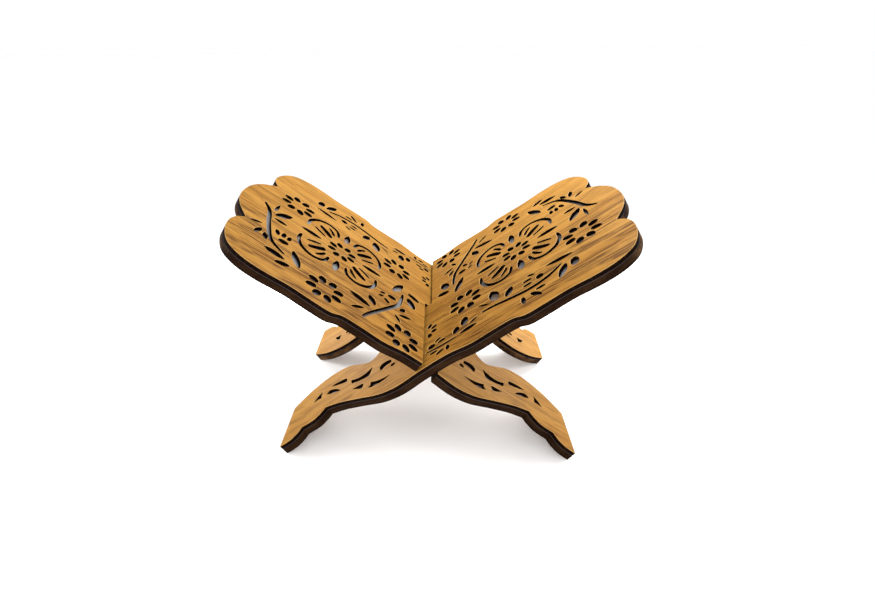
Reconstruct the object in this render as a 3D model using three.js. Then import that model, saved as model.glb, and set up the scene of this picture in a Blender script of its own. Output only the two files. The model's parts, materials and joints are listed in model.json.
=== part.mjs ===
// Quran stand: two identical boards, each slotted to half its width, slid together into an X.
// Each board is a fretwork face plate glued on a solid backing board.
// Millimetres, +Z up. Origin: under the crossing, on the surface the stand rests on.
// Board frame: x runs up the board from the crossing to the wing tip, y along the crossing,
// z out of the upper face. Each board has its slot on the +y side.

import * as THREE from 'three';

// ---- driving dimensions -------------------------------------------------------------------
const WING_LENGTH = 174;        // crossing to wing tip
const LEG_LENGTH = 138;         // crossing to foot end
const BOARD_THICKNESS = 9;      // face plate + glue line + backing board
const FACE_THICKNESS = 3.2;
const GLUE_LINE = 0.2;
const TILT = 35.2 * Math.PI / 180;   // each board above the horizontal, stand open
const FIT_CLEARANCE = 0.2;      // round the crossing, each side

const BACKING_THICKNESS = BOARD_THICKNESS - FACE_THICKNESS - GLUE_LINE;

// The slot takes the other board crossing at twice the tilt, and binds at that angle.
const CROSSING = 2 * TILT;
const SLOT_HALF = BOARD_THICKNESS * (1 + Math.cos(CROSSING)) / Math.sin(CROSSING) / 2 + FIT_CLEARANCE;
const SLOT_END = -FIT_CLEARANCE / 2;

// Height of the crossing: the foot's lower corner is on the ground.
const CROSSING_HEIGHT = LEG_LENGTH * Math.sin(TILT) + BOARD_THICKNESS / 2 * Math.cos(TILT);

// ---- board outline, the +y half ------------------------------------------------------------
// Each stretch is a smooth curve between two corners; n is its number of chords.
const WING_TIP = [[WING_LENGTH, 0], [172.9, 13], [168, 26.5], [158.5, 39.5]];
const WING_SIDE = [[158.5, 39.5], [163.4, 47], [164.6, 57], [161.8, 70], [155, 82], [143, 88.6], [128, 90.4],
  [110, 89.6], [92, 91.2], [79, 91.6], [70, 88], [54, 88.6], [38, 89.8], [21, 87.4], [SLOT_HALF, 88]];
const LEG_SIDE = [[-SLOT_HALF, 89.6], [-23, 92.4], [-40, 89.6], [-60, 80.6], [-80, 72], [-95.5, 67.4]];
const ANKLE = [[-95.5, 67.4], [-98.8, 71.6], [-106, 76], [-118, 77]];
const HEEL = [[-118, 77], [-121.5, 82], [-128, 86], [-LEG_LENGTH, 87.2]];
const ARCH = [[-LEG_LENGTH, 41.5], [-122, 30.4], [-106, 24.2], [-92, 22.6], [-78, 25],
  [-64, 33.2], [-54, 37.2], [-46.5, 32], [-40, 19], [-36, 8], [-35, 0]];

function stretch(corners, n) {
  const curve = new THREE.SplineCurve(corners.map(([x, y]) => new THREE.Vector2(x, y)));
  return curve.getPoints(n);
}

function boardOutline() {
  const half = [
    ...stretch(WING_TIP, 5), ...stretch(WING_SIDE, 26),
  ];
  const leg = [
    ...stretch(LEG_SIDE, 9), ...stretch(ANKLE, 5), ...stretch(HEEL, 5), ...stretch(ARCH, 18),
  ];
  const slot = [new THREE.Vector2(SLOT_HALF, SLOT_END), new THREE.Vector2(-SLOT_HALF, SLOT_END)];
  const plusSide = [...half, ...slot, ...leg];
  const minusSide = [...half, ...leg].reverse().map((p) => new THREE.Vector2(p.x, -p.y));
  const ring = [...plusSide, ...minusSide];
  return ring.filter((p, i) => p.distanceTo(ring[(i + 1) % ring.length]) > 0.01);
}

// ---- fretwork ------------------------------------------------------------------------------
// A bud, a leaf or a stem is one tapered stroke: a curve, its greatest width and how pointed its
// ends are, 1 for an ellipse and more for a leaf. n is the number of chords along each side.
const ROUND = 1;
const POINTED = 1.5;
const EVEN = 0.6;

function strokeOutline(curve, width, pointed, n) {
  const left = [];
  const right = [];
  for (let i = 1; i < n; i += 1) {
    const turn = Math.PI * i / n;
    const s = (1 - Math.cos(turn)) / 2;
    const p = curve.getPoint(s);
    const tangent = curve.getTangent(s);
    const reach = width / 2 * Math.sin(turn) ** pointed;
    left.push(new THREE.Vector2(p.x - tangent.y * reach, p.y + tangent.x * reach));
    right.unshift(new THREE.Vector2(p.x + tangent.y * reach, p.y - tangent.x * reach));
  }
  return [curve.getPoint(0), ...left, curve.getPoint(1), ...right];
}

// One straight opening from a point to another.
function opening([x0, y0, x1, y1, width], pointed) {
  const line = new THREE.LineCurve(new THREE.Vector2(x0, y0), new THREE.Vector2(x1, y1));
  return strokeOutline(line, width, pointed, 4);
}

const bud = (numbers) => opening(numbers, ROUND);
const leaf = (numbers) => opening(numbers, POINTED);

function stem([points, width]) {
  const curve = new THREE.SplineCurve(points.map(([x, y]) => new THREE.Vector2(x, y)));
  return strokeOutline(curve, width, EVEN, 2 * points.length);
}

// Where a petal starts and ends, and its greatest width, as shares of its flower's radius.
const PETAL_START = 0.63;
const PETAL_END = 1.45;
const PETAL_WIDTH = 0.6;

// Eight petals round a centre; radius is near that of the petals' middles.
function flower([x, y, radius]) {
  const petals = [];
  for (let k = 0; k < 8; k += 1) {
    const angle = (k + 0.5) * Math.PI / 4;
    const [c, s] = [radius * Math.cos(angle), radius * Math.sin(angle)];
    petals.push(bud([x + PETAL_START * c, y + PETAL_START * s, x + PETAL_END * c, y + PETAL_END * s,
      PETAL_WIDTH * radius]));
  }
  return petals;
}

const FLOWERS = [[136, -28.7, 10.2], [88.5, 69, 10.2], [25, 72, 10.2], [38, -29.5, 10.2]];
const SMALL_FLOWER = [2, -43.5, 7];      // half of it is under the other board, and isn't cut

// Each opening: from x, y to x, y, greatest width.
const WING_BUDS = [
  // spray at the wing tip
  [116, 67.5, 126, 72, 5.2], [124.5, 41.5, 132.5, 42.5, 5.7], [126, 30, 126.5, 37, 3.4],
  [130.8, 29, 130.8, 37, 3.6], [137, 30, 134.3, 37.5, 3.6],
  // spray on the slotted side
  [39.5, 37, 44, 32, 3.9], [45, 29.9, 49.8, 33.2, 3], [34, 24.5, 42, 25.5, 5.7],
  [44, 24.5, 49, 27.5, 3], [17.5, 23, 23, 10, 7.7], [12.5, 6.5, 24, 2.5, 6.1],
  // spray on the whole side
  [122.5, -56, 121, -66.5, 6.3], [89, -45.8, 94.5, -48.8, 3], [84.5, -52, 91.5, -52, 3.2],
  [83.5, -57.5, 91, -57.5, 3.4], [94, -55, 100, -55.5, 6.1], [91, -69.5, 98.5, -69.5, 3.4],
  [81, -70, 81, -79, 3.6], [87, -70, 94, -78.5, 4.1],
  // spray beside the crossing
  [29, -59.5, 27, -68, 5.4], [9.5, -64, 15, -60.5, 3], [3.5, -67.5, 10, -67, 5.4],
  [12, -66.5, 19, -65.5, 3.4], [5, -76, 12, -76, 3], [10.5, -81, 17, -77.5, 3.4],
  [20, -75.5, 20.5, -82, 3.4],
];
const WING_LEAVES = [
  // spray at the wing tip
  [110, 64, 119.5, 45.5, 6.1], [121, 63.5, 137, 61.5, 6.5], [139, 53, 142.2, 44, 3.9],
  [148, 51.5, 145.5, 40.5, 3.9], [147.5, 34, 156, 38.5, 3.2], [133, 16.5, 144, 16.5, 4.5],
  [134, -2.5, 145, 11.5, 6.8], [147, 6, 147, -9, 2.7],
  // spray on the slotted side
  [58, 62.5, 68, 70.5, 3.4], [53.5, 57, 72.5, 51.5, 6.1], [50.5, 52, 56.5, 41, 6.1],
  [28, 54, 33, 46.5, 3.2], [19, 40, 30, 44.5, 4.1], [25, 31, 29.5, 38.5, 4.3],
  [38.5, 14, 29.5, -6, 6.1],
  // spray on the whole side
  [48, -48.5, 58, -54.5, 2.5], [60, -38.5, 63.5, -54.5, 8.3], [76, -47, 70.5, -58, 6.1],
  [103, -47, 124, -49, 4.8], [116, -57.5, 108.5, -72, 5.9],
  // spray beside the crossing
  [36, -52, 35, -63.5, 6.8], [30.5, -70.5, 45.5, -69, 4.8], [38.5, -64.8, 46.5, -61, 2.5],
];
const STEMS = [
  [[[123, 57.5], [136, 48.5], [144.5, 28.5], [150, 9.5], [157, 0]], 3.7],
  [[[57.5, 75], [53, 65.5], [38, 41.5], [31, 28.5], [28.5, 9.5]], 3.8],
  [[[50, -59.5], [61, -60.2], [85, -64.2], [102, -61.5], [113.5, -55]], 3.6],
  [[[1.5, -71.7], [15, -72.5], [28, -71.7]], 2.3],
];

// Legs, the +y one of each pair.
const LEG_BUDS = [[-31.2, 60.9, -26.8, 60.9, 4.2]];

// Cornered openings, clockwise: each corner, then how far the side after it bows outwards.
const LEG_CUTS = [
  [[-51.7, 73.8, 3.2], [-29, 72, -1.8], [-49.5, 68, 0], [-49.3, 71.6, 0]],
  [[-68.8, 63.1, 0.3], [-58, 70, 0.3], [-57.3, 64.3, 0], [-59.2, 63.3, 0]],
  [[-72.1, 49.1, 1], [-69.5, 55.5, 0.3], [-53, 58.5, 0.4], [-50.8, 47.6, -3.6]],
  [[-40.5, 60.2, -0.9], [-30.7, 56.7, 0], [-31.5, 52.3, 0.5], [-38.5, 51, 0.9], [-42.5, 54.5, 0.5]],
  [[-99.2, 49, 1], [-82.5, 54.8, 1.2], [-95.5, 45.7, 0.9]],
  [[-96.4, 40.5, 0.7], [-78, 47.4, 0.9], [-79.3, 41.6, 1]],
  [[-113.2, 51.5, -0.7], [-104.2, 50.4, -0.9], [-105, 41, 1.2]],
];

function cut(corners) {
  return corners.flatMap(([x0, y0, bow], i) => {
    const start = new THREE.Vector2(x0, y0);
    if (!bow) return [start];
    const [x1, y1] = corners[(i + 1) % corners.length];
    const middle = new THREE.Vector2((x0 + x1) / 2, (y0 + y1) / 2);
    const across = new THREE.Vector2(y0 - y1, x1 - x0).normalize().multiplyScalar(2 * bow);
    const side = new THREE.QuadraticBezierCurve(start, middle.add(across), new THREE.Vector2(x1, y1));
    return side.getPoints(4).slice(0, -1);
  });
}

const otherLegCut = (corners) => corners.map(([x, y, bow]) => [x, -y, -bow]);

// The medallion in the middle of the wing: one quarter, mirrored both ways about its centre.
const MEDALLION = [88, 3];
const MEDALLION_ROSETTE = 9;
const MEDALLION_LEAVES = [[18.5, 0, 37, 0, 5.8], [0, 18, 0, 35, 5.8]];
const MEDALLION_QUARTER = [
  [[[12.5, 11.5], [17.5, 17], [25, 22.5]], 5.2],
  [[[17, 8.3], [22.5, 11], [28, 14.6]], 3],
  [[[11.2, 17.8], [13.6, 23], [17.6, 27.6]], 3],
  [[[7.5, 20.5], [10, 29.5], [18.5, 33.5], [28, 29.5], [33.5, 20.5], [33.5, 10.5]], 3.8],
];

function medallion() {
  const [cx, cy] = MEDALLION;
  const openings = flower([cx, cy, MEDALLION_ROSETTE]);
  for (const way of [1, -1]) {
    for (const [x0, y0, x1, y1, width] of MEDALLION_LEAVES) {
      openings.push(leaf([cx + way * x0, cy + way * y0, cx + way * x1, cy + way * y1, width]));
    }
    for (const side of [1, -1]) {
      for (const [points, width] of MEDALLION_QUARTER) {
        openings.push(stem([points.map(([x, y]) => [cx + way * x, cy + side * y]), width]));
      }
    }
  }
  return openings;
}

const otherLegBud = ([x0, y0, x1, y1, width]) => [x0, -y0, x1, -y1, width];

function fretwork() {
  return [
    ...FLOWERS.flatMap(flower),
    ...flower(SMALL_FLOWER).filter((petal) => petal.every((p) => p.x > 1)),
    ...[...WING_BUDS, ...LEG_BUDS, ...LEG_BUDS.map(otherLegBud)].map(bud),
    ...WING_LEAVES.map(leaf),
    ...[...LEG_CUTS, ...LEG_CUTS.map(otherLegCut)].map(cut),
    ...STEMS.map(stem),
    ...medallion(),
  ];
}

// ---- pieces --------------------------------------------------------------------------------
function plate(name, thickness, bottom, openings, material) {
  const shape = new THREE.Shape(boardOutline());
  shape.holes = openings.map((points) => new THREE.Path(points));
  const geometry = new THREE.ExtrudeGeometry(shape, { depth: thickness, bevelEnabled: false });
  geometry.translate(0, 0, bottom);
  const mesh = new THREE.Mesh(geometry, material);
  mesh.name = name;
  return mesh;
}

function wood(color, roughness) {
  return new THREE.MeshStandardMaterial({ color, roughness, metalness: 0 });
}

function board(side) {
  const group = new THREE.Group();
  group.add(plate(`${side}_face_plate`, FACE_THICKNESS,
    BOARD_THICKNESS / 2 - FACE_THICKNESS, fretwork(), wood(0xc8914e, 0.5)));
  group.add(plate(`${side}_backing_board`, BACKING_THICKNESS,
    -BOARD_THICKNESS / 2, [], wood(0x6b4a30, 0.75)));
  group.rotation.y = -TILT;
  group.position.z = CROSSING_HEIGHT;
  return group;
}

const stand = new THREE.Group();
stand.add(board('right'));
const turned = new THREE.Group();
turned.rotation.z = Math.PI;
turned.add(board('left'));
stand.add(turned);

export default stand;
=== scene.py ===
import json
import math

import bpy
from bpy.props import FloatProperty, FloatVectorProperty, PointerProperty
from mathutils import Matrix, Vector


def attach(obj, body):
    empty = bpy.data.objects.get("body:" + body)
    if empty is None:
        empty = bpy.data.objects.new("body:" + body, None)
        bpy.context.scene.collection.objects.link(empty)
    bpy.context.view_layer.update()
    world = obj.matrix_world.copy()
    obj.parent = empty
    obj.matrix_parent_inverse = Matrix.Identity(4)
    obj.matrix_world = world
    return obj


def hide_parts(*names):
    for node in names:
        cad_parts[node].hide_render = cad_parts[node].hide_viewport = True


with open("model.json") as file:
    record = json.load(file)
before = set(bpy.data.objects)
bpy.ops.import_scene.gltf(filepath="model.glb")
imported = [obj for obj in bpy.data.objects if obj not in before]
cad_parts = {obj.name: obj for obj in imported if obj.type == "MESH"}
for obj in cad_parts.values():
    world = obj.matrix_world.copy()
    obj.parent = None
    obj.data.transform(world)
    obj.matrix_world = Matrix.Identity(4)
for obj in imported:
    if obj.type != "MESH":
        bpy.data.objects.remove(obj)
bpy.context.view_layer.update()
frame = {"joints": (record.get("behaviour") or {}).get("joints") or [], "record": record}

bl_info = {
    "name": "Fretwork Book Stand",
    "version": (1, 0, 0),
    "blender": (4, 5, 0),
    "location": "3D View > Sidebar > Book Stand",
    "description": "Two slotted fretwork boards that cross to hold an open book",
    "category": "Add Mesh",
}

# ---- places read from the frame --------------------------------------------------------------
MM = 0.001
CROSSING = Vector(frame["joints"][0]["pos_m"])
REST_FACE = next(m for m in frame["record"]["mounts"] if m["name"] == "page_rest_right")["axis"]
TILT = math.atan2(-REST_FACE[0], REST_FACE[2])
BOARD_THICKNESS = 9.0 * MM
FACE_THICKNESS = 3.2 * MM
BACKING_TOP = BOARD_THICKNESS / 2 - FACE_THICKNESS

# Each board: its name, its body and how far it is turned about +Z.
BOARDS = (("right", "right_board", 0.0), ("left", "left_board", math.pi))

# ---- board outline, the +y half, in millimetres from the crossing ----------------------------
CROSSING_ANGLE = 2 * TILT
FIT_CLEARANCE = 0.2
SLOT_HALF = (BOARD_THICKNESS / MM * (1 + math.cos(CROSSING_ANGLE)) / math.sin(CROSSING_ANGLE) / 2
             + FIT_CLEARANCE)
SLOT_END = -FIT_CLEARANCE / 2
LEG_LENGTH = 138
WING_LENGTH = 174
WING_TIP = ((WING_LENGTH, 0), (172.9, 13), (168, 26.5), (158.5, 39.5))
WING_SIDE = ((158.5, 39.5), (163.4, 47), (164.6, 57), (161.8, 70), (155, 82), (143, 88.6),
             (128, 90.4), (110, 89.6), (92, 91.2), (79, 91.6), (70, 88), (54, 88.6), (38, 89.8),
             (21, 87.4), (SLOT_HALF, 88))
LEG_SIDE = ((-SLOT_HALF, 89.6), (-23, 92.4), (-40, 89.6), (-60, 80.6), (-80, 72), (-95.5, 67.4))
ANKLE = ((-95.5, 67.4), (-98.8, 71.6), (-106, 76), (-118, 77))
HEEL = ((-118, 77), (-121.5, 82), (-128, 86), (-LEG_LENGTH, 87.2))
ARCH = ((-LEG_LENGTH, 41.5), (-122, 30.4), (-106, 24.2), (-92, 22.6), (-78, 25),
        (-64, 33.2), (-54, 37.2), (-46.5, 32), (-40, 19), (-36, 8), (-35, 0))
CHORDS_PER_POINT = 6
SAME_POINT = 0.01       # corners of the outline closer than this are one corner

# ---- fretwork, in millimetres from the crossing ----------------------------------------------
ROUND = 1.0
POINTED = 1.5
EVEN = 0.6
CHORDS_PER_SIDE = 6
CHORDS_PER_OPENING = 10
CHORDS_PER_STEM_POINT = 5

# Where a petal starts and ends, and its greatest width, as shares of its flower's radius.
PETAL_START = 0.63
PETAL_END = 1.45
PETAL_WIDTH = 0.6

FLOWERS = ((136, -28.7, 10.2), (88.5, 69, 10.2), (25, 72, 10.2), (38, -29.5, 10.2))
SMALL_FLOWER = (2, -43.5, 7)
SMALL_FLOWER_START = 1      # petals that reach below this lie under the other board, uncut

WING_BUDS = (
    # spray at the wing tip
    (116, 67.5, 126, 72, 5.2), (124.5, 41.5, 132.5, 42.5, 5.7), (126, 30, 126.5, 37, 3.4),
    (130.8, 29, 130.8, 37, 3.6), (137, 30, 134.3, 37.5, 3.6),
    # spray on the slotted side
    (39.5, 37, 44, 32, 3.9), (45, 29.9, 49.8, 33.2, 3), (34, 24.5, 42, 25.5, 5.7),
    (44, 24.5, 49, 27.5, 3), (17.5, 23, 23, 10, 7.7), (12.5, 6.5, 24, 2.5, 6.1),
    # spray on the whole side
    (122.5, -56, 121, -66.5, 6.3), (89, -45.8, 94.5, -48.8, 3), (84.5, -52, 91.5, -52, 3.2),
    (83.5, -57.5, 91, -57.5, 3.4), (94, -55, 100, -55.5, 6.1), (91, -69.5, 98.5, -69.5, 3.4),
    (81, -70, 81, -79, 3.6), (87, -70, 94, -78.5, 4.1),
    # spray beside the crossing
    (29, -59.5, 27, -68, 5.4), (9.5, -64, 15, -60.5, 3), (3.5, -67.5, 10, -67, 5.4),
    (12, -66.5, 19, -65.5, 3.4), (5, -76, 12, -76, 3), (10.5, -81, 17, -77.5, 3.4),
    (20, -75.5, 20.5, -82, 3.4),
)
WING_LEAVES = (
    # spray at the wing tip
    (110, 64, 119.5, 45.5, 6.1), (121, 63.5, 137, 61.5, 6.5), (139, 53, 142.2, 44, 3.9),
    (148, 51.5, 145.5, 40.5, 3.9), (147.5, 34, 156, 38.5, 3.2), (133, 16.5, 144, 16.5, 4.5),
    (134, -2.5, 145, 11.5, 6.8), (147, 6, 147, -9, 2.7),
    # spray on the slotted side
    (58, 62.5, 68, 70.5, 3.4), (53.5, 57, 72.5, 51.5, 6.1), (50.5, 52, 56.5, 41, 6.1),
    (28, 54, 33, 46.5, 3.2), (19, 40, 30, 44.5, 4.1), (25, 31, 29.5, 38.5, 4.3),
    (38.5, 14, 29.5, -6, 6.1),
    # spray on the whole side
    (48, -48.5, 58, -54.5, 2.5), (60, -38.5, 63.5, -54.5, 8.3), (76, -47, 70.5, -58, 6.1),
    (103, -47, 124, -49, 4.8), (116, -57.5, 108.5, -72, 5.9),
    # spray beside the crossing
    (36, -52, 35, -63.5, 6.8), (30.5, -70.5, 45.5, -69, 4.8), (38.5, -64.8, 46.5, -61, 2.5),
)
STEMS = (
    (((123, 57.5), (136, 48.5), (144.5, 28.5), (150, 9.5), (157, 0)), 3.7),
    (((57.5, 75), (53, 65.5), (38, 41.5), (31, 28.5), (28.5, 9.5)), 3.8),
    (((50, -59.5), (61, -60.2), (85, -64.2), (102, -61.5), (113.5, -55)), 3.6),
    (((1.5, -71.7), (15, -72.5), (28, -71.7)), 2.3),
)
LEG_BUDS = ((-31.2, 60.9, -26.8, 60.9, 4.2),)

# Cornered openings, clockwise: each corner, then how far the side after it bows outwards.
LEG_CUTS = (
    ((-51.7, 73.8, 3.2), (-29, 72, -1.8), (-49.5, 68, 0), (-49.3, 71.6, 0)),
    ((-68.8, 63.1, 0.3), (-58, 70, 0.3), (-57.3, 64.3, 0), (-59.2, 63.3, 0)),
    ((-72.1, 49.1, 1), (-69.5, 55.5, 0.3), (-53, 58.5, 0.4), (-50.8, 47.6, -3.6)),
    ((-40.5, 60.2, -0.9), (-30.7, 56.7, 0), (-31.5, 52.3, 0.5), (-38.5, 51, 0.9),
     (-42.5, 54.5, 0.5)),
    ((-99.2, 49, 1), (-82.5, 54.8, 1.2), (-95.5, 45.7, 0.9)),
    ((-96.4, 40.5, 0.7), (-78, 47.4, 0.9), (-79.3, 41.6, 1)),
    ((-113.2, 51.5, -0.7), (-104.2, 50.4, -0.9), (-105, 41, 1.2)),
)
MEDALLION = (88, 3)
MEDALLION_ROSETTE = 9
MEDALLION_LEAVES = ((18.5, 0, 37, 0, 5.8), (0, 18, 0, 35, 5.8))
MEDALLION_QUARTER = (
    (((12.5, 11.5), (17.5, 17), (25, 22.5)), 5.2),
    (((17, 8.3), (22.5, 11), (28, 14.6)), 3),
    (((11.2, 17.8), (13.6, 23), (17.6, 27.6)), 3),
    (((7.5, 20.5), (10, 29.5), (18.5, 33.5), (28, 29.5), (33.5, 20.5), (33.5, 10.5)), 3.8),
)


# ---- flat shapes -----------------------------------------------------------------------------
def spline_point(points, s):
    """A point at s, from 0 to 1, of the smooth curve through the points."""
    last = len(points) - 1
    i = min(int(s * last), last - 1)
    t = s * last - i
    before, a, b, after = (Vector(points[min(max(k, 0), last)]) for k in range(i - 1, i + 3))
    leave, arrive = (b - before) / 2, (after - a) / 2
    return (((2 * a - 2 * b + leave + arrive) * t + 3 * b - 3 * a - 2 * leave - arrive) * t
            + leave) * t + a


def bowed_side(a, b, bow):
    """A side from corner a up to corner b, bowed to its left; b itself is left out."""
    across = Vector((a.y - b.y, b.x - a.x)).normalized()
    steps = [i / CHORDS_PER_SIDE for i in range(CHORDS_PER_SIDE)] if bow else [0]
    return [a.lerp(b, s) + across * (4 * bow * s * (1 - s)) for s in steps]


def stroke(curve, width, pointed, chords):
    """The outline of a tapered stroke along a curve."""
    left, right = [], []
    nudge = 0.001
    for i in range(1, chords):
        turn = math.pi * i / chords
        s = (1 - math.cos(turn)) / 2
        p = curve(s)
        along = (curve(min(s + nudge, 1)) - curve(max(s - nudge, 0))).normalized()
        across = Vector((-along.y, along.x)) * (width / 2 * math.sin(turn) ** pointed)
        left.append(p + across)
        right.insert(0, p - across)
    return [curve(0), *left, curve(1), *right]


def opening(numbers, pointed):
    """A straight bud or leaf: from x, y to x, y and its greatest width."""
    x0, y0, x1, y1, width = numbers
    a, b = Vector((x0, y0)), Vector((x1, y1))
    return stroke(lambda s: a.lerp(b, s), width, pointed, CHORDS_PER_OPENING)


def bud(numbers):
    """A straight opening with round ends."""
    return opening(numbers, ROUND)


def leaf(numbers):
    """A straight opening with pointed ends."""
    return opening(numbers, POINTED)


def cut(corners):
    """A cornered opening with bowed sides."""
    ring = []
    for (x0, y0, bow), (x1, y1, _) in zip(corners, corners[1:] + corners[:1]):
        ring += bowed_side(Vector((x0, y0)), Vector((x1, y1)), bow)
    return ring


def stem(points, width):
    """A curved opening of nearly even width."""
    chords = CHORDS_PER_STEM_POINT * len(points)
    return stroke(lambda s: spline_point(points, s), width, EVEN, chords)


def flower(x, y, radius):
    """Eight petals round a centre; radius is near that of the petals' middles."""
    petals = []
    for k in range(8):
        angle = (k + 0.5) * math.pi / 4
        c, s = radius * math.cos(angle), radius * math.sin(angle)
        petals.append(bud((x + PETAL_START * c, y + PETAL_START * s,
                           x + PETAL_END * c, y + PETAL_END * s, PETAL_WIDTH * radius)))
    return petals


def medallion():
    """The ornament in the middle of the wing: one quarter, mirrored both ways."""
    cx, cy = MEDALLION
    openings = flower(cx, cy, MEDALLION_ROSETTE)
    for way in (1, -1):
        for x0, y0, x1, y1, width in MEDALLION_LEAVES:
            openings.append(leaf((cx + way * x0, cy + way * y0,
                                  cx + way * x1, cy + way * y1, width)))
        for side in (1, -1):
            for points, width in MEDALLION_QUARTER:
                openings.append(stem([(cx + way * x, cy + side * y) for x, y in points], width))
    return openings


def fretwork():
    """Every opening of one face plate."""
    openings = [petal for place in FLOWERS for petal in flower(*place)]
    openings += [petal for petal in flower(*SMALL_FLOWER)
                 if min(p.x for p in petal) > SMALL_FLOWER_START]
    openings += [bud(b) for b in WING_BUDS]
    openings += [leaf(b) for b in WING_LEAVES]
    openings += [stem(points, width) for points, width in STEMS]
    legs = [bud(b) for b in LEG_BUDS] + [cut(corners) for corners in LEG_CUTS]
    legs += [[Vector((p.x, -p.y)) for p in ring] for ring in legs]
    return openings + legs + medallion()


def stretch(points):
    """One smooth stretch of the outline, between two corners."""
    chords = CHORDS_PER_POINT * (len(points) - 1)
    return [spline_point(points, i / chords) for i in range(chords + 1)]


def board_outline():
    """The whole board, slotted on its +y side."""
    wing = stretch(WING_TIP) + stretch(WING_SIDE)
    leg = stretch(LEG_SIDE) + stretch(ANKLE) + stretch(HEEL) + stretch(ARCH)
    slot = [Vector((SLOT_HALF, SLOT_END)), Vector((-SLOT_HALF, SLOT_END))]
    minus = [Vector((p.x, -p.y)) for p in reversed(wing + leg)]
    ring = wing + slot + leg + minus
    return [p for p, q in zip(ring, ring[1:] + ring[:1]) if (p - q).length > SAME_POINT]


# ---- sizes and colours -----------------------------------------------------------------------
def length(name, description, default):
    return FloatProperty(name=name, description=description, default=default, unit="LENGTH")


def colour(name, description, default):
    return FloatVectorProperty(name=name, description=description, default=default,
                               subtype="COLOR", size=3, min=0, max=1)


class StandBoards(bpy.types.PropertyGroup):
    """Sizes of the two boards."""
    face_chamfer: length("Face chamfer", "Softening of the face plate's cut edges", 0.25 * MM)
    backing_chamfer: length("Backing chamfer", "Softening of the backing's edges", 0.35 * MM)
    facing_line: length("Facing line", "Thickness of the backing's pale facing", 0.4 * MM)


class StandFinish(bpy.types.PropertyGroup):
    """Colours of the boards."""
    veneer_light: colour("Veneer, light", "Ground colour of the veneer", (0.37, 0.182, 0.032))
    veneer_deep: colour("Veneer, deep", "Late-wood streaks of the veneer", (0.265, 0.113, 0.016))
    veneer_pore: colour("Veneer, pores", "Open pores of the veneer", (0.060, 0.018, 0.002))
    # Rim: a painted highlight in pale wood colour along the face plate's eased edges.
    rim: colour("Rim", "Bare wood where the face plate's edges are eased", (0.46, 0.27, 0.085))
    # Char also serves as painted shade along the lowest rim of the backing's edge.
    char: colour("Char", "Edges burnt by the laser", (0.0045, 0.0018, 0.0012))
    soot: colour("Soot", "Browner patches of the burnt edges", (0.016, 0.008, 0.005))
    fibreboard: colour("Fibreboard", "Scorched edge of the backing board", (0.010, 0.0038, 0.0016))
    # The raw fibreboard colour is less burnt fibreboard; at the wing tips and rear legs it also serves
    # as painted light.
    fibreboard_raw_and_lit: colour("Fibreboard, raw", "Less burnt fibreboard", (0.185, 0.090, 0.034))
    underside: colour("Underside", "Plain fibreboard under the backing board", (0.165, 0.092, 0.043))
    underside_dark: colour("Underside, dark", "Handled patches of the underside", (0.105, 0.055, 0.024))
    facing: colour("Facing", "Pale facing on the backing board", (0.18, 0.185, 0.198))


class StandStage(bpy.types.PropertyGroup):
    """Floor, lights and camera."""
    floor: colour("Floor", "Plain pale floor", (1.0, 1.0, 1.0))
    floor_size: length("Floor size", "Side of the square floor", 60.0)
    lens: FloatProperty(name="Lens", description="Focal length on a 36 mm sensor", default=19.58,
                        unit="CAMERA")


# ---- shader nodes ----------------------------------------------------------------------------
class Sock:
    """A shader socket that takes part in arithmetic."""

    def __init__(self, finish, socket):
        self.finish = finish
        self.socket = socket

    def _math(self, operation, *values):
        return self.finish.node("ShaderNodeMath", {"operation": operation}, dict(enumerate(values)))

    def __add__(self, other):
        return self._math("ADD", self, other)

    __radd__ = __add__

    def __sub__(self, other):
        return self._math("SUBTRACT", self, other)

    def __rsub__(self, other):
        return self._math("SUBTRACT", other, self)

    def __mul__(self, other):
        return self._math("MULTIPLY", self, other)

    __rmul__ = __mul__


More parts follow.
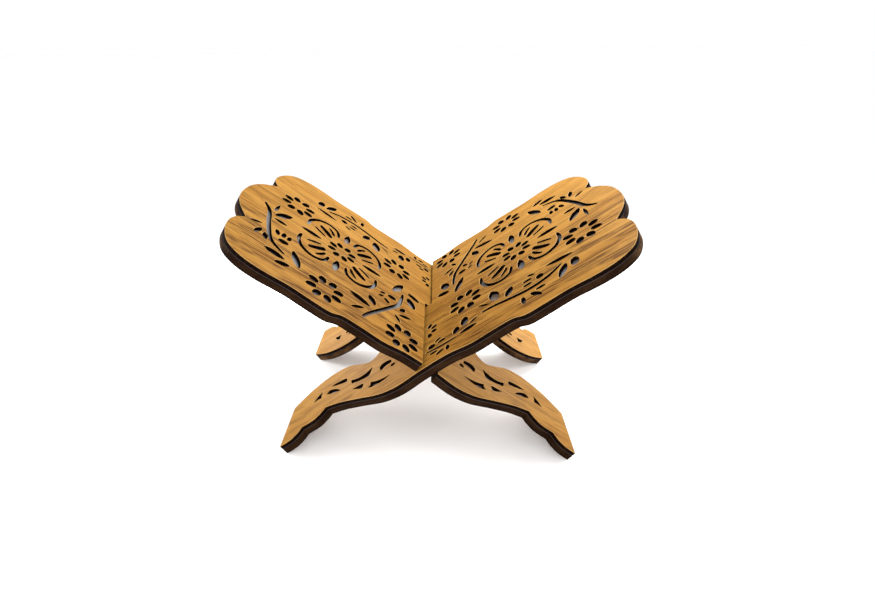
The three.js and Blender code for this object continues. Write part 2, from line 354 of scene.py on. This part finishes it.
class Finish:
    """One material and its node tree."""

    def __init__(self, name):
        self.material = bpy.data.materials.new(name)
        self.material.use_nodes = True
        self.tree = self.material.node_tree
        self.tree.nodes.clear()

    def node(self, kind, settings=None, inputs=None, out=0):
        """A node with its settings, then the values or links of its sockets."""
        made = self.tree.nodes.new(kind)
        for name, value in (settings or {}).items():
            setattr(made, name, value)
        for name, value in (inputs or {}).items():
            if isinstance(value, Sock):
                self.tree.links.new(value.socket, made.inputs[name])
            else:
                made.inputs[name].default_value = value
        return Sock(self, made.outputs[out]) if made.outputs else None

    def board_place(self, turned):
        """Object coordinates along the board, across it and out of its face, from the crossing."""
        place = self.node("ShaderNodeTexCoord", out="Object")
        along = CROSSING.z * math.sin(TILT)
        out = CROSSING.z * math.cos(TILT)
        return self.node("ShaderNodeMapping", {"vector_type": "POINT"}, {
            "Vector": place, "Rotation": (0, TILT if not turned else -TILT, turned),
            "Location": (-along, 0, -out)})

    def along(self, place, axis):
        """How far up the board (0), across it (1) or out of its face (2)."""
        return self.node("ShaderNodeSeparateXYZ", None, {"Vector": place}, out=axis)

    def to_front(self, place, turned):
        """How far towards the front of the stand, from the middle of the board."""
        across = self.along(place, 1)
        return across if turned else 0 - across

    def scaled(self, place, factors):
        """The place stretched by its own factor each way."""
        return self.node("ShaderNodeVectorMath", {"operation": "MULTIPLY"}, {0: place, 1: factors})

    def noise(self, place, detail, roughness, distortion=0.0):
        """Soft noise, one repeat to each unit of place."""
        return self.node("ShaderNodeTexNoise", {"noise_dimensions": "3D"}, {
            "Vector": place, "Scale": 1.0, "Detail": detail, "Roughness": roughness,
            "Distortion": distortion})

    def band(self, value, low, high):
        """0 below low, 1 above high, smooth between."""
        return self.node("ShaderNodeMapRange", {"interpolation_type": "SMOOTHSTEP"}, {
            "Value": value, "From Min": low, "From Max": high})

    def mix(self, factor, a, b):
        """A colour between two others."""
        a, b = (end if isinstance(end, Sock) else (*end, 1) for end in (a, b))
        return self.node("ShaderNodeMix", {"data_type": "RGBA"}, {0: factor, 6: a, 7: b}, out=2)

    def bump(self, height, distance, strength):
        """Relief of a height from 0 to 1 that stands out by a distance in metres."""
        return self.node("ShaderNodeBump", None, {
            "Height": height, "Distance": distance, "Strength": strength})

    def surface(self, inputs):
        shader = self.node("ShaderNodeBsdfPrincipled", None, inputs)
        self.node("ShaderNodeOutputMaterial", None, {"Surface": shader})
        return self.material


# Grain, in repeats per metre up the board, across it and through it.
BROAD_GRAIN = (5, 38, 20)
STREAK_GRAIN = (9, 260, 50)
LINE_GRAIN = (11, 520, 60)
PATCH_GRAIN = (38, 110, 60)
PORE_GRAIN = (150, 2400, 300)
RIM_GRAIN = (60, 420, 60)
SOOT_GRAIN = (700, 700, 120)
SCORCH_GRAIN = (45, 45, 160)
EDGE_FIBRES = (1400, 1400, 350)
UNDERSIDE_CLOUD = (22, 30, 28)
UNDERSIDE_FIBRES = (900, 1500, 900)
FACING_DUST = (90, 90, 90)

# Where a finish changes, from one place to the next, in metres from the crossing.
# Painted shade in part: the veneer's dark grain is drawn stronger towards the front of the stand and up
# the wing.
SHADED_GRAIN_TO_FRONT = (-0.06, 0.085)
SHADED_GRAIN_UP_WING = (-0.01, 0.03)
# Painted light: the backing's edge is drawn paler towards the wing tip and down the rear legs.
LIT_WING_TIP = (0.148, 0.162)
REAR_HALF = (0.01, 0.03)
DOWN_LEG = (0.06, 0.09)
# Painted shade: the backing's edge is drawn in char colour along its lowest rim.
SHADED_LOW_RIM = (0.0005, 0.0013)        # from the underside
FACING_SOFTNESS = 0.00015


def veneer(name, turned, colours):
    """Satin veneer, its grain running up the board; darker grain towards the front is partly painted
    shade.
    """
    finish = Finish(name)
    place = finish.board_place(turned)
    up = finish.along(place, 0)
    to_front = finish.to_front(place, turned)
    broad = finish.noise(finish.scaled(place, BROAD_GRAIN), 3, 0.5, 0.4)
    streaks = finish.noise(finish.scaled(place, STREAK_GRAIN), 4, 0.6, 0.3)
    lines = finish.noise(finish.scaled(place, LINE_GRAIN), 3, 0.6) - 0.5
    patches = finish.noise(finish.scaled(place, PATCH_GRAIN), 2, 0.5)
    pores = finish.noise(finish.scaled(place, PORE_GRAIN), 2, 0.5)
    deep = finish.band(streaks * 0.5 + broad * 0.5, 0.38, 0.66)
    up_wing = finish.band(up, *SHADED_GRAIN_UP_WING)
    # Painted shade in part: the grain's dark streaks and lines grow stronger towards the front and up
    # the wing.
    shaded_grain = finish.band(to_front, *SHADED_GRAIN_TO_FRONT) * (0.25 + up_wing * 0.75)
    thin = 1 - finish.band(lines * lines, 0.0008, 0.0048)
    dark_lines = thin * (finish.band(patches, 0.34, 0.56) * (0.40 + shaded_grain * 0.55))
    pore_mask = finish.band(pores, 0.56, 0.70)
    ground = finish.mix(deep * (0.55 + shaded_grain * 0.45), colours.veneer_light, colours.veneer_deep)
    ground = finish.mix(dark_lines * 0.92, ground, colours.veneer_pore)
    ground = finish.mix(pore_mask * 0.35, ground, colours.veneer_pore)
    height = (1 - pore_mask * 0.7) + streaks * 0.5 - dark_lines * 0.6
    return finish.surface({
        "Base Color": ground,
        "Roughness": 0.50 + deep * 0.10 + pore_mask * 0.12,
        "Normal": finish.bump(height, 0.00006, 0.6),
        "Specular IOR Level": 0.04,
    })


def painted_highlight_rim(name, turned, colours):
    """Painted highlight: a pale wood colour on the eased edges of the face plate."""
    finish = Finish(name)
    place = finish.board_place(turned)
    streaks = finish.noise(finish.scaled(place, RIM_GRAIN), 3, 0.6)
    shade = finish.mix(finish.band(streaks, 0.4, 0.7), colours.rim, colours.veneer_light)
    return finish.surface({
        "Base Color": shade,
        "Roughness": 0.5 + streaks * 0.2,
        "Specular IOR Level": 0.25,
    })


def charred_edge(name, turned, colours):
    """The laser-burnt wall of the face plate."""
    finish = Finish(name)
    place = finish.board_place(turned)
    soot = finish.noise(finish.scaled(place, SOOT_GRAIN), 3, 0.6)
    shade = finish.mix(finish.band(soot, 0.45, 0.8), colours.char, colours.soot)
    return finish.surface({
        "Base Color": shade,
        "Roughness": 0.7 + soot * 0.2,
        "Normal": finish.bump(soot, 0.0001, 0.5),
        "Specular IOR Level": 0.01,
    })


def fibreboard(name, turned, colours, facing_line):
    """The backing board's scorched edge, with its pale facing as a line at the top; painted light makes
    it paler at the wing tips and rear legs, painted shade darkens its lowest rim.
    """
    finish = Finish(name)
    place = finish.board_place(turned)
    up = finish.along(place, 0)
    out = finish.along(place, 2)
    to_rear = 0 - finish.to_front(place, turned)
    # Painted light: the edge turns paler at the wing tips and down the rear legs, where side light
    # falls.
    lit_rear_leg = finish.band(to_rear, *REAR_HALF) * finish.band(0 - up, *DOWN_LEG)
    scorch = finish.noise(finish.scaled(place, SCORCH_GRAIN), 4, 0.6)
    fibres = finish.noise(finish.scaled(place, EDGE_FIBRES), 3, 0.6)
    raw_and_lit = finish.band(scorch * 0.7 + fibres * 0.3, 0.40, 0.64) * 0.75
    raw_and_lit = raw_and_lit * (0.12 + finish.band(up, *LIT_WING_TIP) * 0.88 + lit_rear_leg * 0.7)
    shade = finish.mix(raw_and_lit, colours.fibreboard, colours.fibreboard_raw_and_lit)
    # Painted shade: the lowest rim of the edge, next to the underside, takes the char colour.
    shaded_low_rim = 1 - finish.band(out, *(rise - BOARD_THICKNESS / 2 for rise in SHADED_LOW_RIM))
    shade = finish.mix(shaded_low_rim, shade, colours.char)
    line_start = BACKING_TOP - facing_line
    line = finish.band(out, line_start, line_start + FACING_SOFTNESS)
    shade = finish.mix(line * 0.18, shade, colours.facing)
    return finish.surface({
        "Base Color": shade,
        "Roughness": 0.82 - line * 0.25,
        "Normal": finish.bump(fibres, 0.00008, 0.6),
        "Specular IOR Level": 0.03,
    })


def plain_underside(name, turned, colours):
    """The backing board's underside: plain fibreboard, rubbed darker in places."""
    finish = Finish(name)
    place = finish.board_place(turned)
    cloud = finish.noise(finish.scaled(place, UNDERSIDE_CLOUD), 5, 0.6)
    fibres = finish.noise(finish.scaled(place, UNDERSIDE_FIBRES), 3, 0.6)
    flecks = finish.band(fibres, 0.52, 0.68)
    shade = finish.mix(finish.band(cloud, 0.38, 0.66) * 0.7, colours.underside,
                       colours.underside_dark)
    shade = finish.mix(flecks * 0.55, shade, colours.fibreboard)
    return finish.surface({
        "Base Color": shade,
        "Roughness": 0.72 + flecks * 0.12,
        "Normal": finish.bump(fibres, 0.00004, 0.5),
        "Specular IOR Level": 0.15,
    })


def pale_facing(name, turned, colours):
    """The backing board's pale upper face, seen through the fretwork."""
    finish = Finish(name)
    place = finish.board_place(turned)
    dust = finish.noise(finish.scaled(place, FACING_DUST), 4, 0.6)
    smoke = finish.band(dust, 0.42, 0.72) * 0.7
    return finish.surface({
        "Base Color": finish.mix(smoke, colours.facing, colours.fibreboard_raw_and_lit),
        "Roughness": 0.55 + dust * 0.15,
        "Normal": finish.bump(dust, 0.00003, 0.4),
        "Specular IOR Level": 0.2,
    })


# ---- pieces ----------------------------------------------------------------------------------
MERGE_DISTANCE = 0.000002
FLAT = 0.95             # how far a face's normal points up or down when it lies flat
EASED = 0.2             # and when it is part of a softened edge
SMOOTH_ANGLE = math.radians(28)


def deselect_all():
    for thing in bpy.context.selected_objects:
        thing.select_set(False)


def cut_sheet(name, rings, bottom, top, chamfer):
    """A flat sheet cut to its outline and openings, lying in the board's own frame."""
    curve = bpy.data.curves.new(name, "CURVE")
    curve.dimensions = "2D"
    curve.fill_mode = "BOTH"
    curve.extrude = (top - bottom) / 2 - chamfer
    curve.bevel_depth = chamfer
    curve.bevel_resolution = 0
    curve.offset = -chamfer
    for ring in rings:
        spline = curve.splines.new("POLY")
        spline.points.add(len(ring) - 1)
        spline.use_cyclic_u = True
        for point, place in zip(spline.points, ring):
            point.co = (place.x * MM, place.y * MM, 0, 1)
    sheet = bpy.data.objects.new(name, curve)
    bpy.context.scene.collection.objects.link(sheet)
    deselect_all()
    sheet.select_set(True)
    bpy.context.view_layer.objects.active = sheet
    bpy.ops.object.convert(target="MESH")
    bpy.ops.object.mode_set(mode="EDIT")
    bpy.ops.mesh.select_all(action="SELECT")
    bpy.ops.mesh.remove_doubles(threshold=MERGE_DISTANCE)
    bpy.ops.mesh.normals_make_consistent(inside=False)
    bpy.ops.mesh.select_all(action="DESELECT")
    bpy.ops.object.mode_set(mode="OBJECT")
    sheet.location = (0, 0, (top + bottom) / 2)
    bpy.ops.object.transform_apply(location=True, rotation=True, scale=True)
    return sheet


def finish_faces(sheet, cap, rim, wall, under):
    """The upper face, its eased edges, the walls and the underside each take a finish."""
    sheet.data.materials.clear()
    for material in (cap, rim, wall, under):
        sheet.data.materials.append(material)
    for face in sheet.data.polygons:
        up = face.normal.z
        face.material_index = 0 if up > FLAT else 1 if up > EASED else 3 if up < -FLAT else 2
    bpy.ops.object.shade_smooth_by_angle(angle=SMOOTH_ANGLE)


def stand_up(sheet, turned):
    """Tilts a sheet from its own frame to its place in the stand."""
    sheet.rotation_euler = (0, -TILT, turned)
    sheet.location = CROSSING
    bpy.ops.object.transform_apply(location=True, rotation=True, scale=True)


class STAND_OT_face_plates(bpy.types.Operator):
    """Add the fretwork face plate of each board"""
    bl_idname = "stand.face_plates"
    bl_label = "Face plates"

    def execute(self, context):
        sizes, colours = context.scene.stand_boards, context.scene.stand_finish
        rings = [board_outline(), *(ring[::-1] for ring in fretwork())]
        for side, body, turned in BOARDS:
            plate = cut_sheet(f"{side}_fretwork_plate", rings, BACKING_TOP,
                              BOARD_THICKNESS / 2, sizes.face_chamfer)
            burnt = charred_edge(f"{side}_charred_edge", turned, colours)
            finish_faces(plate, veneer(f"{side}_veneer", turned, colours),
                         painted_highlight_rim(f"{side}_painted_highlight_rim", turned, colours), burnt, burnt)
            stand_up(plate, turned)
            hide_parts(f"{side}_face_plate")
            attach(plate, body)
        return {"FINISHED"}


class STAND_OT_backing_boards(bpy.types.Operator):
    """Add the solid backing board under each face plate"""
    bl_idname = "stand.backing_boards"
    bl_label = "Backing boards"

    def execute(self, context):
        sizes, colours = context.scene.stand_boards, context.scene.stand_finish
        for side, body, turned in BOARDS:
            board = cut_sheet(f"{side}_backing", [board_outline()], -BOARD_THICKNESS / 2,
                              BACKING_TOP, sizes.backing_chamfer)
            edge = fibreboard(f"{side}_fibreboard", turned, colours, sizes.facing_line)
            finish_faces(board, pale_facing(f"{side}_facing", turned, colours), edge, edge,
                         plain_underside(f"{side}_underside", turned, colours))
            stand_up(board, turned)
            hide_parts(f"{side}_backing_board")
            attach(board, body)
        return {"FINISHED"}


# Softboxes: place, side length and power in watts; each looks at the stand.
SOFTBOXES = (
    ((0.14, 0.20, 0.42), 0.25, 2.3),
    ((0.00, -0.45, 0.20), 0.30, 1.1),
    ((-0.24, 0.22, 0.10), 0.12, 0.5),
    ((0.24, 0.22, 0.10), 0.12, 0.36),
    ((-0.38, 0.00, 0.18), 0.14, 0.75),
    ((0.36, 0.00, 0.14), 0.14, 0.5),
)
CAMERA_PLACE = (2.79 * MM, -356.7 * MM, 282.3 * MM)
CAMERA_TURN = math.radians(2.147)      # to the left of straight ahead
CAMERA_DIP = math.radians(30.43)       # below the horizontal
CAMERA_ROLL = math.radians(-0.286)
CAMERA_SHIFT = (0.0244, 0.0242)
CAMERA_CLIP = 0.01


class STAND_OT_stage(bpy.types.Operator):
    """Add the floor, the soft lights and the camera"""
    bl_idname = "stand.stage"
    bl_label = "Stage"

    def execute(self, context):
        stage = context.scene.stand_stage
        self.add_floor(stage)
        self.add_lights(context.scene)
        self.add_camera(context.scene, stage)
        return {"FINISHED"}

    def add_floor(self, stage):
        deselect_all()
        bpy.ops.mesh.primitive_plane_add(size=stage.floor_size)
        floor = bpy.context.object
        floor.name = "floor"
        finish = Finish("pale_floor")
        floor.data.materials.append(finish.surface({
            "Base Color": (*stage.floor, 1), "Roughness": 0.8, "Specular IOR Level": 0.2}))

    def add_lights(self, scene):
        world = bpy.data.worlds.new("soft_white")
        world.use_nodes = True
        world.node_tree.nodes["Background"].inputs["Color"].default_value = (1, 1, 1, 1)
        world.node_tree.nodes["Background"].inputs["Strength"].default_value = 1.0
        scene.world = world
        for number, (place, side, power) in enumerate(SOFTBOXES, 1):
            lamp = bpy.data.lights.new(f"softbox_{number}", "AREA")
            lamp.size = side
            lamp.energy = power
            box = bpy.data.objects.new(lamp.name, lamp)
            box.location = place
            aim = CROSSING - Vector(place)
            box.rotation_euler = aim.to_track_quat("-Z", "Y").to_euler()
            box.visible_camera = False
            scene.collection.objects.link(box)

    def add_camera(self, scene, stage):
        camera = bpy.data.cameras.new("front_camera")
        camera.lens = stage.lens
        camera.clip_start = CAMERA_CLIP
        camera.shift_x, camera.shift_y = CAMERA_SHIFT
        holder = bpy.data.objects.new("front_camera", camera)
        turn = Matrix.Rotation(CAMERA_TURN, 3, "Z")
        dip = Matrix.Rotation(math.pi / 2 - CAMERA_DIP, 3, "X")
        roll = Matrix.Rotation(CAMERA_ROLL, 3, "Z")
        holder.rotation_euler = (turn @ dip @ roll).to_euler()
        holder.location = CAMERA_PLACE
        scene.collection.objects.link(holder)
        scene.camera = holder
        scene.view_settings.view_transform = "Standard"


class STAND_PT_sidebar(bpy.types.Panel):
    """The stand's pieces in the 3D view's sidebar"""
    bl_idname = "STAND_PT_sidebar"
    bl_label = "Book Stand"
    bl_space_type = "VIEW_3D"
    bl_region_type = "UI"
    bl_category = "Book Stand"

    def draw(self, context):
        for operator in OPERATORS:
            self.layout.operator(operator.bl_idname)


GROUPS = {"stand_boards": StandBoards, "stand_finish": StandFinish, "stand_stage": StandStage}
OPERATORS = (STAND_OT_face_plates, STAND_OT_backing_boards, STAND_OT_stage)


def register():
    for kind in (*GROUPS.values(), *OPERATORS, STAND_PT_sidebar):
        bpy.utils.register_class(kind)
    for name, group in GROUPS.items():
        setattr(bpy.types.Scene, name, PointerProperty(type=group))


def unregister():
    for name in GROUPS:
        delattr(bpy.types.Scene, name)
    for kind in (STAND_PT_sidebar, *reversed(OPERATORS), *reversed(GROUPS.values())):
        bpy.utils.unregister_class(kind)


def main():
    register()
    bpy.ops.stand.face_plates()
    bpy.ops.stand.backing_boards()
    bpy.ops.stand.stage()


if __name__ == "__main__":
    main()
